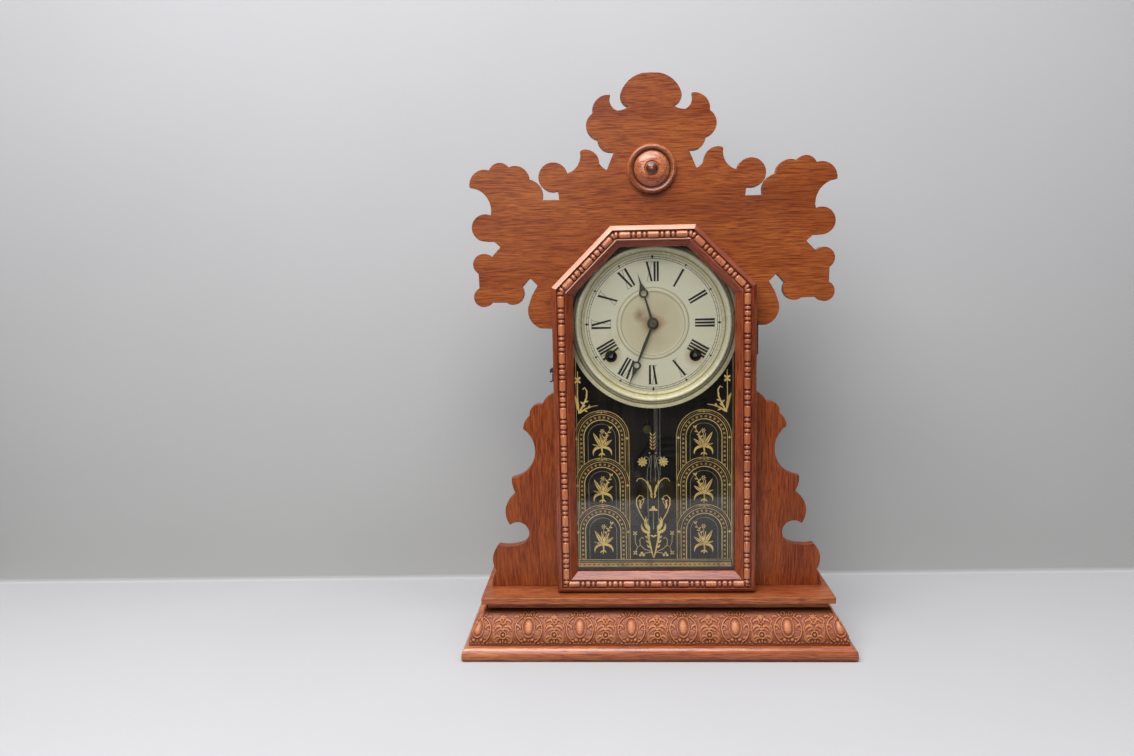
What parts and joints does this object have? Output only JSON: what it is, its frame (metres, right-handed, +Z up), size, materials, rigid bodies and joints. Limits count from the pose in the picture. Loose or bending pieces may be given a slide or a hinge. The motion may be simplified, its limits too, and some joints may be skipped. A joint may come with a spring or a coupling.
{
  "type": "gingerbread shelf clock",
  "caption": "Striking pendulum shelf clock in a pressed and fret-sawn oak case, with a hinged glazed door, a round Roman dial, hands, and a brass movement with a coil gong.",
  "frame": {"origin": "middle of the footprint on the floor", "axes": "+Z up, -Y to the front, +X to the viewer's right"},
  "size_m": [0.381, 0.127, 0.559],
  "materials": {
    "oak_case": "stained oak, shellac",
    "crest_oak": "stained oak, horizontal grain",
    "wing_oak": "stained oak, upright grain",
    "pressed_oak": "pressed and stained oak",
    "door_oak": "stained oak",
    "turned_oak": "turned and stained oak",
    "secondary_wood": "bare softwood",
    "glass": "old window glass with a gilt and black pattern on its back",
    "hinge_brass": "aged",
    "dark_steel": "blued or japanned black",
    "dial_metal": "tarnished, pale",
    "dial_paper": "aged, stained at its middle",
    "bright_steel": "dull",
    "spring_steel": "dark",
    "gong_steel": "blued",
    "gong_iron": "rough",
    "movement_brass": "aged"
  },
  "bodies": {
    "case": {"plinth_board": "oak_case", "base_front_moulding": "pressed_oak", "base_side_mouldings": "pressed_oak", "base_back_rail": "secondary_wood", "base_top_board": "oak_case", "case_side_left": "oak_case", "case_side_right": "oak_case", "case_roof_boards": "oak_case", "case_back_board": "secondary_wood", "crest_board": "crest_oak", "wing_left": "wing_oak", "wing_right": "wing_oak", "crest_medallion": "turned_oak", "case_hinge_leaves": "hinge_brass", "latch_screw": "dark_steel", "dial_pan": "dial_metal", "dial_face": "dial_paper", "dial_blocks": "secondary_wood", "dial_screws": "bright_steel", "winding_grommets": "hinge_brass", "front_plate": "movement_brass", "back_plate": "movement_brass", "plate_pillars": "movement_brass", "movement_feet": "movement_brass", "mainsprings": "spring_steel", "gong_coil": "gong_steel", "gong_base": "gong_iron"},
    "door": {"door_bottom_rail": "door_oak", "door_stile_left": "door_oak", "door_stile_right": "door_oak", "door_upper_rails": "door_oak", "door_bead_mouldings": "door_oak", "door_glass": "glass", "glass_retaining_strips": "secondary_wood", "door_hinge_leaves": "hinge_brass", "latch_stud": "dark_steel"},
    "latch": {"latch_hook": "dark_steel"},
    "hour_work": {"hour_wheel": "movement_brass", "hour_hand": "dark_steel"},
    "centre_work": {"centre_arbor": "movement_brass", "minute_hand": "dark_steel", "hand_nut": "hinge_brass"},
    "minute_gear": {"minute_wheel": "movement_brass"},
    "fourth_gear": {"time_fourth_wheel": "movement_brass"},
    "escape_gear": {"escape_wheel": "movement_brass"},
    "second_gear": {"time_second_wheel": "movement_brass"},
    "great_gear": {"time_great_wheel": "movement_brass"},
    "time_winding": {"time_winding_arbor": "bright_steel"},
    "time_click_body": {"time_click": "bright_steel"},
    "verge_body": {"verge_and_crutch": "bright_steel"},
    "pendulum": {"pendulum_rod": "bright_steel", "pendulum_bob": "movement_brass"},
    "strike_great_gear": {"strike_great_wheel": "movement_brass"},
    "strike_winding": {"strike_winding_arbor": "bright_steel"},
    "strike_click_body": {"strike_click": "bright_steel"},
    "strike_second_gear": {"strike_second_wheel": "movement_brass"},
    "strike_third_gear": {"strike_third_wheel": "movement_brass"},
    "warning_gear": {"strike_warning_wheel": "movement_brass"},
    "fly_body": {"strike_fly": "movement_brass"},
    "hammer_body": {"strike_hammer": "movement_brass"}
  },
  "joints": [
    {"name": "door_swing", "type": "hinge", "parent": "case", "child": "door", "pos_m": [0.0986, -0.02025, 0.21], "axis": [0, 0, 1], "range_deg": [0, 100]},
    {"name": "latch_swing", "type": "hinge", "parent": "case", "child": "latch", "pos_m": [-0.098, -0.016, 0.279], "axis": [1, 0, 0], "range_deg": [0, 270]},
    {"name": "pendulum_swing", "type": "hinge", "parent": "case", "child": "pendulum", "pos_m": [0.0064, 0, 0.386], "axis": [0, 1, 0], "range_deg": [-2, 2]},
    {"name": "verge_rock", "type": "hinge", "parent": "case", "child": "verge_body", "pos_m": [0.0064, 0, 0.386], "axis": [0, 1, 0], "range_deg": [-2, 2]},
    {"name": "fourth_turn", "type": "hinge", "parent": "case", "child": "fourth_gear", "pos_m": [-0.00614, 0, 0.34542], "axis": [0, 1, 0], "continuous": true},
    {"name": "escape_turn", "type": "hinge", "parent": "case", "child": "escape_gear", "pos_m": [0.0064, 0, 0.365], "axis": [0, 1, 0], "continuous": true},
    {"name": "centre_turn", "type": "hinge", "parent": "case", "child": "centre_work", "pos_m": [0, 0, 0.323], "axis": [0, 1, 0], "continuous": true},
    {"name": "minute_gear_turn", "type": "hinge", "parent": "case", "child": "minute_gear", "pos_m": [0, 0, 0.311], "axis": [0, 1, 0], "continuous": true},
    {"name": "hour_turn", "type": "hinge", "parent": "case", "child": "hour_work", "pos_m": [0, 0, 0.323], "axis": [0, 1, 0], "continuous": true},
    {"name": "second_turn", "type": "hinge", "parent": "case", "child": "second_gear", "pos_m": [0.02357, 0, 0.3275], "axis": [0, 1, 0], "continuous": true},
    {"name": "great_turn", "type": "hinge", "parent": "case", "child": "great_gear", "pos_m": [0.041, 0, 0.2915], "axis": [0, 1, 0], "continuous": true},
    {"name": "time_winding_turn", "type": "hinge", "parent": "great_gear", "child": "time_winding", "pos_m": [0.041, 0, 0.2915], "axis": [0, 1, 0], "continuous": true},
    {"name": "time_click_lift", "type": "hinge", "parent": "great_gear", "child": "time_click_body", "pos_m": [0.04898, 0, 0.30651], "axis": [0, 1, 0], "range_deg": [0, 12]},
    {"name": "warning_turn", "type": "hinge", "parent": "case", "child": "warning_gear", "pos_m": [-0.02395, 0, 0.36842], "axis": [0, 1, 0], "continuous": true},
    {"name": "fly_turn", "type": "hinge", "parent": "case", "child": "fly_body", "pos_m": [-0.0269, 0, 0.38517], "axis": [0, 1, 0], "continuous": true},
    {"name": "strike_third_turn", "type": "hinge", "parent": "case", "child": "strike_third_gear", "pos_m": [-0.03557, 0, 0.34829], "axis": [0, 1, 0], "continuous": true},
    {"name": "strike_second_turn", "type": "hinge", "parent": "case", "child": "strike_second_gear", "pos_m": [-0.02357, 0, 0.3275], "axis": [0, 1, 0], "continuous": true},
    {"name": "strike_great_turn", "type": "hinge", "parent": "case", "child": "strike_great_gear", "pos_m": [-0.041, 0, 0.2915], "axis": [0, 1, 0], "continuous": true},
    {"name": "strike_winding_turn", "type": "hinge", "parent": "strike_great_gear", "child": "strike_winding", "pos_m": [-0.041, 0, 0.2915], "axis": [0, 1, 0], "continuous": true},
    {"name": "strike_click_lift", "type": "hinge", "parent": "strike_great_gear", "child": "strike_click_body", "pos_m": [-0.04898, 0, 0.30651], "axis": [0, 1, 0], "range_deg": [-12, 0]},
    {"name": "hammer_swing", "type": "hinge", "parent": "case", "child": "hammer_body", "pos_m": [-0.0045, 0, 0.259], "axis": [0, 1, 0], "range_deg": [0, 14]}
  ],
  "couplings": [
    {"joint": "verge_rock", "follows": "pendulum_swing", "ratio": 1},
    {"joint": "escape_turn", "follows": "fourth_turn", "ratio": -9.3333},
    {"joint": "centre_turn", "follows": "fourth_turn", "ratio": -0.10714},
    {"joint": "minute_gear_turn", "follows": "fourth_turn", "ratio": 0.035714},
    {"joint": "hour_turn", "follows": "fourth_turn", "ratio": -0.0089286},
    {"joint": "second_turn", "follows": "fourth_turn", "ratio": 0.026786},
    {"joint": "great_turn", "follows": "fourth_turn", "ratio": -0.0066964},
    {"joint": "fly_turn", "follows": "warning_turn", "ratio": -7.5},
    {"joint": "strike_third_turn", "follows": "warning_turn", "ratio": -0.10714},
    {"joint": "strike_second_turn", "follows": "warning_turn", "ratio": 0.026786},
    {"joint": "strike_great_turn", "follows": "warning_turn", "ratio": -0.0066964}
  ]
}
